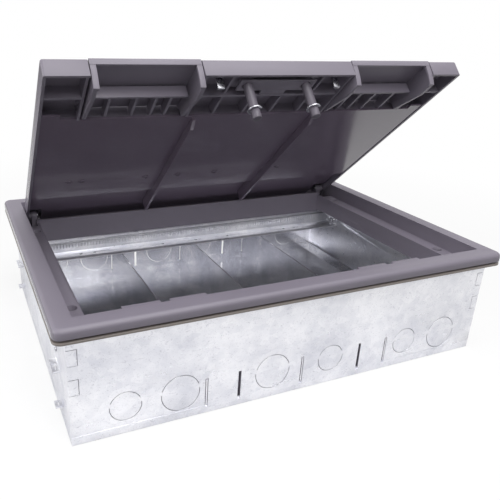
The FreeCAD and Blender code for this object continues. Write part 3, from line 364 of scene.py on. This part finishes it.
def dress_node(name: str, finish: Finish, edge_mm: float) -> None:
    """Give a node of the frame its finish and soft edges, with its mesh left as it is.

    Args:
        name: The node.
        finish: Its finish.
        edge_mm: Width of the rounding along its edges, or 0 for flat faces with sharp edges.
    """
    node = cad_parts[name]
    node.data.materials.clear()
    node.data.materials.append(finish.material())
    if edge_mm <= 0:
        return
    weld = node.modifiers.new("join_seams", "WELD")
    weld.merge_threshold = SEAM
    flat = node.modifiers.new("join_flats", "DECIMATE")
    flat.decimate_type = "DISSOLVE"
    flat.angle_limit = FLAT
    bevel = node.modifiers.new("soft_edges", "BEVEL")
    bevel.width = edge_mm * MM
    bevel.segments = 2
    bevel.limit_method = "ANGLE"
    bevel.angle_limit = SHARP
    bevel.harden_normals = True
    for face in node.data.polygons:
        face.use_smooth = True


def mesh_piece(name: str, mesh: bmesh.types.BMesh, finish: Finish, body: str) -> bpy.types.Object:
    """Turn a bmesh into a piece of the object that rides on a body.

    Args:
        name: The piece's name.
        mesh: Its mesh in the row frame, freed here.
        finish: Its finish.
        body: The body it rides on.

    Returns:
        The new object.
    """
    bmesh.ops.recalc_face_normals(mesh, faces=mesh.faces)
    data = bpy.data.meshes.new(name)
    mesh.to_mesh(data)
    mesh.free()
    piece = bpy.data.objects.new(name, data)
    bpy.context.scene.collection.objects.link(piece)
    data.materials.append(finish.material())
    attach(piece, body)
    LOG.info("%s: %d faces on %s", name, len(data.polygons), body)
    return piece


@dataclass
class MachineScrew:
    """An M4 screw with a rolled thread and a pan head with a drive recess, drawn along local Z."""

    length_mm: float
    head_height_mm: float
    recess: Recess
    diameter_mm: float = 4.0
    pitch_mm: float = 0.7
    thread_depth: float = 0.55
    lead_in: float = 1.2
    tip_share: float = 0.3
    head_mm: float = 8.0
    segments: int = 20
    rows_a_turn: int = 5
    head_steps: int = 32
    # Share of the head's radius and of its height, from the bearing face over the rim to the crown
    crown: tuple[tuple[float, float], ...] = ((0.30, 0.0), (0.96, 0.0), (1.0, 0.06), (1.0, 0.45),
                                              (0.93, 0.78), (0.78, 0.95), (0.6, 1.0))
    # The same for the longest arm of the recess, down to its floor
    socket: tuple[tuple[float, float], ...] = ((0.56, 1.0), (0.5, 0.45), (0.2, 0.35))

    def add_to(self, mesh: bmesh.types.BMesh, place: Matrix) -> None:
        """Add the screw, its head at the top end.

        Args:
            mesh: Where the screw goes.
            place: The place of the underside of its head.
        """
        self.add_thread(mesh, place)
        self.add_head(mesh, place)

    def add_thread(self, mesh: bmesh.types.BMesh, place: Matrix) -> None:
        """Add the shank, whose radius follows the helix of the thread."""
        radius = self.diameter_mm / 2
        depth = self.thread_depth * self.pitch_mm
        rows = max(8, int(self.length_mm / self.pitch_mm * self.rows_a_turn))
        loops = []
        for row in range(rows + 1):
            height = -self.length_mm * (1 - row / rows)
            # The tip is thin and widens over the first turns, so that the screw finds its hole
            taper = min(1.0, (height + self.length_mm) / (self.lead_in * self.pitch_mm) + self.tip_share)
            loop = []
            for step in range(self.segments):
                turn = step / self.segments
                phase = (height / self.pitch_mm - turn) % 1.0
                crest = 1.0 - abs(2 * phase - 1.0)
                local = (radius - depth * (1 - crest)) * taper
                angle = 2 * math.pi * turn
                point = Vector((local * math.cos(angle), local * math.sin(angle), height)) * MM
                loop.append(mesh.verts.new(place @ point))
            loops.append(loop)
        for lower, upper in zip(loops, loops[1:]):
            for step in range(self.segments):
                after = (step + 1) % self.segments
                mesh.faces.new((lower[step], lower[after], upper[after], upper[step]))
        mesh.faces.new(list(reversed(loops[0])))
        mesh.faces.new(loops[-1])

    def add_head(self, mesh: bmesh.types.BMesh, place: Matrix) -> None:
        """Add the pan head, with a recess pressed into its crown."""
        outer = self.head_mm / 2
        high = self.head_height_mm
        steps = self.head_steps
        # The crown runs on inwards as a star or bar whose floor lies lower
        rings = [(share, level, False) for share, level in self.crown]
        rings += [(share, level, True) for share, level in self.socket]
        loops = []
        for share, level, pressed in rings:
            loop = []
            for step in range(steps):
                angle = 2 * math.pi * step / steps
                radius = share * outer * (self.recess_share(angle) if pressed else 1.0)
                point = Vector((radius * math.cos(angle), radius * math.sin(angle), level * high)) * MM
                loop.append(mesh.verts.new(place @ point))
            loops.append(loop)
        for lower, upper in zip(loops, loops[1:]):
            for step in range(steps):
                after = (step + 1) % steps
                mesh.faces.new((lower[step], lower[after], upper[after], upper[step]))
        mesh.faces.new(list(reversed(loops[0])))
        mesh.faces.new(loops[-1])

    def recess_share(self, angle: float) -> float:
        """How far the recess reaches out in this direction, as a share of its longest arm."""
        arms = 2 if self.recess is Recess.CROSS else 1
        return 0.34 + 0.66 * abs(math.cos(arms * angle)) ** 6


def pointing(axis: Axis, place: Vector) -> Matrix:
    """The place of a screw whose head looks along an axis.

    Args:
        axis: Where the head looks.
        place: The underside of the head.

    Returns:
        The matrix from the screw's own axes to the row frame.
    """
    turn = {Axis.UP: Matrix.Identity(4), Axis.RIGHT: Matrix.Rotation(math.pi / 2, 4, "Y"),
            Axis.LEFT: Matrix.Rotation(-math.pi / 2, 4, "Y")}[axis]
    return Matrix.Translation(place) @ turn


def islands(name: str) -> list[tuple[Vector, Vector]]:
    """The lowest and highest corners of each loose part of a node, in the row frame.

    Args:
        name: The node.

    Returns:
        A pair of corners for each loose part, sorted by X, Y and Z.
    """
    mesh = bmesh.new()
    mesh.from_mesh(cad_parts[name].data)
    bmesh.ops.remove_doubles(mesh, verts=mesh.verts, dist=SEAM)
    left = set(mesh.verts)
    boxes = []
    while left:
        queue = [left.pop()]
        found = list(queue)
        while queue:
            for edge in queue.pop().link_edges:
                for vert in edge.verts:
                    if vert in left:
                        left.remove(vert)
                        queue.append(vert)
                        found.append(vert)
        low = Vector([min(vert.co[i] for vert in found) for i in range(3)])
        high = Vector([max(vert.co[i] for vert in found) for i in range(3)])
        boxes.append((low, high))
    mesh.free()
    return sorted(boxes, key=lambda pair: tuple(round(value, 4) for value in pair[0]))


@dataclass
class SheetBox:
    """The galvanised box: pan, walls, end panels, dividers, brackets and the earth terminal."""

    edge_mm: float = 0.25
    walls: tuple[str, ...] = ("front_wall", "left_end_panel", "right_end_panel", "frame_brackets")
    inner: tuple[str, ...] = ("base_pan", "back_wall", "divider_left", "divider_middle", "divider_right")

    def build(self) -> None:
        """Dress the sheet metal and the brass terminal in it."""
        for name in self.walls:
            dress_node(name, ZINC, self.edge_mm)
        for name in self.inner:
            dress_node(name, BRIGHT_ZINC, 0)
        dress_node("earth_stud", BRASS, 0.1)
        dress_node("earth_nuts", BRASS, 0.15)


@dataclass
class Rails:
    """The two folded rails, their fluted strips and the screws that hold them."""

    flute_mm: float = 3.4
    proud_mm: float = 0.8
    run_out_mm: float = 0.5
    points_a_flute: int = 6
    backing_mm: float = 0.3
    span_mm: float = 352.0
    foot_mm: float = 57.2
    head_mm: float = 62.2
    riser_mm: float = 107.0
    screw_head_mm: float = 2.4

    def build(self) -> None:
        """Dress the rails and add what is rolled and screwed into them."""
        for name in ("front_rail", "rear_rail"):
            dress_node(name, ZINC, 0.2)
        self.flutes("rear_rail_flutes", 1.0)
        self.flutes("front_rail_flutes", -1.0)
        self.screws()

    def flutes(self, name: str, side: float) -> None:
        """Add the band of upright flutes that is rolled into the riser of a rail.

        Args:
            name: The piece's name.
            side: 1 for the rear rail, -1 for the front one.
        """
        mesh = bmesh.new()
        steps = int(self.span_mm / self.flute_mm) * self.points_a_flute
        # Height of each row of points, and its share of the flute's full depth
        levels = ((self.foot_mm, 0.0), (self.foot_mm + self.run_out_mm, 1.0),
                  (self.head_mm - self.run_out_mm, 1.0), (self.head_mm, 0.0))
        rows = []
        for z, rise in levels:
            row = []
            for step in range(steps + 1):
                x = -self.span_mm / 2 + self.span_mm * step / steps
                wave = 0.5 - 0.5 * math.cos(2 * math.pi * x / self.flute_mm)
                y = side * (self.riser_mm - self.proud_mm * wave * rise)
                row.append(mesh.verts.new(Vector((x, y, z)) * MM))
            rows.append(row)
        for lower, upper in zip(rows, rows[1:]):
            for step in range(steps):
                mesh.faces.new((lower[step], lower[step + 1], upper[step + 1], upper[step]))
        back = [[mesh.verts.new(Vector((x, side * (self.riser_mm + self.backing_mm), z)) * MM)
                 for x in (-self.span_mm / 2, self.span_mm / 2)] for z in (self.foot_mm, self.head_mm)]
        mesh.faces.new((back[0][0], back[1][0], back[1][1], back[0][1]))
        mesh.faces.new([back[0][0], back[0][1], *reversed(rows[0])])
        mesh.faces.new([back[1][1], back[1][0], *rows[-1]])
        mesh.faces.new([back[1][0], back[0][0], *[row[0] for row in rows]])
        mesh.faces.new([back[0][1], back[1][1], *[row[-1] for row in reversed(rows)]])
        mesh_piece(name, mesh, ZINC, "box")

    def screws(self) -> None:
        """Replace the plain rail screws with threaded, slotted ones."""
        mesh = bmesh.new()
        head = self.screw_head_mm
        for low, high in islands("rail_screws"):
            middle = (low + high) / 2
            screw = MachineScrew((high.x - low.x) / MM - head, head, Recess.SLOT)
            if middle.x > 0:
                place = pointing(Axis.LEFT, Vector((low.x + head * MM, middle.y, middle.z)))
            else:
                place = pointing(Axis.RIGHT, Vector((high.x - head * MM, middle.y, middle.z)))
            screw.add_to(mesh, place)
        piece = mesh_piece("rail_screw_threads", mesh, PLATED, "box")
        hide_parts("rail_screws")


@dataclass
class Surround:
    """The moulded frame, the enamelled flange under it and the screws that hold it down."""

    screw_head_mm: float = 2.6

    def build(self) -> None:
        """Dress the frame and flange, and add the frame screws."""
        dress_node("trim_frame", PLASTIC, 0.35)
        dress_node("flange_ring", ENAMEL, 0.3)
        dress_node("hinge_pins", PLATED, 0.2)
        mesh = bmesh.new()
        head = self.screw_head_mm
        for low, high in islands("frame_screws"):
            middle = (low + high) / 2
            screw = MachineScrew((high.z - low.z) / MM - head, head, Recess.CROSS)
            screw.add_to(mesh, pointing(Axis.UP, Vector((middle.x, middle.y, high.z - head * MM))))
        piece = mesh_piece("frame_screw_threads", mesh, PLATED, "box")
        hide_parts("frame_screws")


@dataclass
class Lid:
    """The lid with its flaps, underside panel, lift handle and spring catches."""

    def build(self) -> None:
        """Dress every node of the lid."""
        for name, edge in (("lid_shell", 0.3), ("cable_flap_left", 0.3), ("cable_flap_right", 0.3),
                           ("handle_guide", 0.2)):
            dress_node(name, PLASTIC, edge)
        dress_node("lift_handle", POST_PLASTIC, 0.3)
        # Its faces stay flat, because rounded shading would bend what the panel mirrors
        dress_node("lid_underside_panel", SMOOTH_SHADE_TINTED_PLASTIC, 0)
        dress_node("carpet_plate", ZINC, 0.2)
        dress_node("handle_clips", PLATED, 0.1)
        dress_node("catch_springs", PLATED, 0.1)


@dataclass
class Studio:
    """Pale floor, soft lamps and the camera, which stands where the photograph was taken from."""

    camera_place: tuple[float, float, float] = (-0.2529, -0.4916, 0.2988)
    camera_turn: tuple[float, float, float] = (67.664, -2.007, -23.92)
    lens: float = 40.79
    shift: tuple[float, float] = (0.083, 0.0056)
    floor_size: float = 12.0
    paper: str = "#F2F2F2"
    bounce: str = "#6E6E6E"
    ambient: float = 0.24

    def build(self) -> None:
        """Build the floor, the world, the lamps and the camera."""
        scene = bpy.context.scene
        scene.view_settings.view_transform = "Standard"
        self.floor()
        self.world(scene)
        # From above for the trim, from the left for the end panel, from the front for the long wall, and a
        # weak one by the floor for the right of the underside
        self.lamp("top_softbox", (0.2, -0.3, 1.5), (0.0, 0.0, 0.1), 1.2, 13.0)
        self.lamp("left_softbox", (-1.4, 0.0, 0.6), (-0.2, 0.0, 0.05), 0.8, 11.0)
        self.lamp("front_softbox", (-0.1, -1.2, 1.3), (0.0, 0.0, 0.05), 0.9, 12.0)
        self.lamp("right_glow", (0.48, 0.08, 0.002), (0.48, 0.08, 1.0), 0.5, 0.1)
        data = bpy.data.cameras.new("photo_camera")
        data.lens = self.lens
        data.sensor_width = 36.0
        data.shift_x, data.shift_y = self.shift
        data.clip_start = 0.01
        camera = bpy.data.objects.new("photo_camera", data)
        camera.location = self.camera_place
        camera.rotation_euler = [math.radians(angle) for angle in self.camera_turn]
        scene.collection.objects.link(camera)
        scene.camera = camera

    def floor(self) -> None:
        """Lay a white floor that keeps the shadow of the box but merges with the background."""
        mesh = bmesh.new()
        bmesh.ops.create_grid(mesh, x_segments=1, y_segments=1, size=self.floor_size)
        data = bpy.data.meshes.new("studio_floor")
        mesh.to_mesh(data)
        mesh.free()
        floor = bpy.data.objects.new("studio_floor", data)
        floor.location.z = -0.0004
        bpy.context.scene.collection.objects.link(floor)
        material = bpy.data.materials.new("studio_paper")
        material.use_nodes = True
        tree = material.node_tree
        tree.nodes.clear()
        rays = add_node(tree, "ShaderNodeLightPath")
        # The light that it throws back is weaker than its look, so the shade under the lid stays deep
        tint = add_node(tree, "ShaderNodeMixRGB",
                        {"Color1": linear(self.paper), "Color2": linear(self.bounce)},
                        {"Fac": rays.outputs["Is Diffuse Ray"]})
        paper = add_node(tree, "ShaderNodeBsdfDiffuse", links={"Color": tint.outputs["Color"]})
        glow = add_node(tree, "ShaderNodeEmission", {"Color": (1.0, 1.0, 1.0, 1.0), "Strength": 1.0})
        where = add_node(tree, "ShaderNodeTexCoord").outputs["Object"]
        distance = add_node(tree, "ShaderNodeVectorMath", {"operation": "LENGTH"}, {0: where})
        fade = add_node(tree, "ShaderNodeMapRange",
                        {"interpolation_type": "SMOOTHSTEP", "From Min": 0.3, "From Max": 0.9, "To Min": 0.8,
                         "To Max": 1.0},
                        {"Value": distance.outputs["Value"]})
        looked_at = add_node(tree, "ShaderNodeMath", {"operation": "MULTIPLY"},
                             {0: rays.outputs["Is Camera Ray"], 1: fade.outputs["Result"]})
        # The paper to the right of the box glows in reflections only, a painted light that the smooth
        # underside of the lid mirrors as a bright patch
        place = add_node(tree, "ShaderNodeSeparateXYZ", links={0: where})
        right = add_node(tree, "ShaderNodeMapRange", {"From Min": 0.2, "From Max": 0.26, "To Max": 0.8},
                         {"Value": place.outputs["X"]})
        painted_glow_in_reflections = add_node(tree, "ShaderNodeMath", {"operation": "MULTIPLY"},
                            {0: rays.outputs["Is Glossy Ray"], 1: right.outputs["Result"]})
        seen = add_node(tree, "ShaderNodeMath", {"operation": "MAXIMUM"},
                        {0: looked_at.outputs["Value"], 1: painted_glow_in_reflections.outputs["Value"]})
        mix = add_node(tree, "ShaderNodeMixShader", links={0: seen.outputs["Value"], 1: paper.outputs["BSDF"],
                                                           2: glow.outputs["Emission"]})
        add_node(tree, "ShaderNodeOutputMaterial", links={"Surface": mix.outputs["Shader"]})
        data.materials.append(material)

    def world(self, scene: bpy.types.Scene) -> None:
        """Make the surroundings white to the eye and in reflections, and softer as light."""
        world = bpy.data.worlds.new("studio")
        scene.world = world
        world.use_nodes = True
        tree = world.node_tree
        tree.nodes.clear()
        rays = add_node(tree, "ShaderNodeLightPath")
        glossy = add_node(tree, "ShaderNodeMath", {"operation": "MAXIMUM"},
                          {0: rays.outputs["Is Camera Ray"], 1: rays.outputs["Is Glossy Ray"]})
        seen = add_node(tree, "ShaderNodeMath", {"operation": "MAXIMUM"},
                        {0: glossy.outputs["Value"], 1: rays.outputs["Is Transmission Ray"]})
        strength = add_node(tree, "ShaderNodeMapRange", {"To Min": self.ambient, "To Max": 1.0},
                            {"Value": seen.outputs["Value"]})
        sky = add_node(tree, "ShaderNodeBackground", {"Color": (1.0, 1.0, 1.0, 1.0)},
                       {"Strength": strength.outputs["Result"]})
        add_node(tree, "ShaderNodeOutputWorld", links={"Surface": sky.outputs["Background"]})

    def lamp(self, name: str, place: tuple[float, float, float], aim: tuple[float, float, float], size: float,
             watts: float) -> None:
        """Hang a square soft lamp.

        Args:
            name: The lamp's name.
            place: Where it hangs.
            aim: The point it looks at.
            size: Its side.
            watts: Its power.
        """
        data = bpy.data.lights.new(name, "AREA")
        data.size = size
        data.energy = watts
        lamp = bpy.data.objects.new(name, data)
        lamp.visible_camera = False
        lamp.location = place
        lamp.rotation_euler = (Vector(aim) - Vector(place)).to_track_quat("-Z", "Y").to_euler()
        bpy.context.scene.collection.objects.link(lamp)


def main() -> None:
    """Build every part of the scene and note how large it came out."""
    logging.basicConfig(level=logging.INFO, format="%(name)s: %(message)s")
    for part in (SheetBox(), Rails(), Surround(), Lid(), Studio()):
        part.build()
        LOG.info("%s is in place", type(part).__name__)


if __name__ == "__main__":
    main()
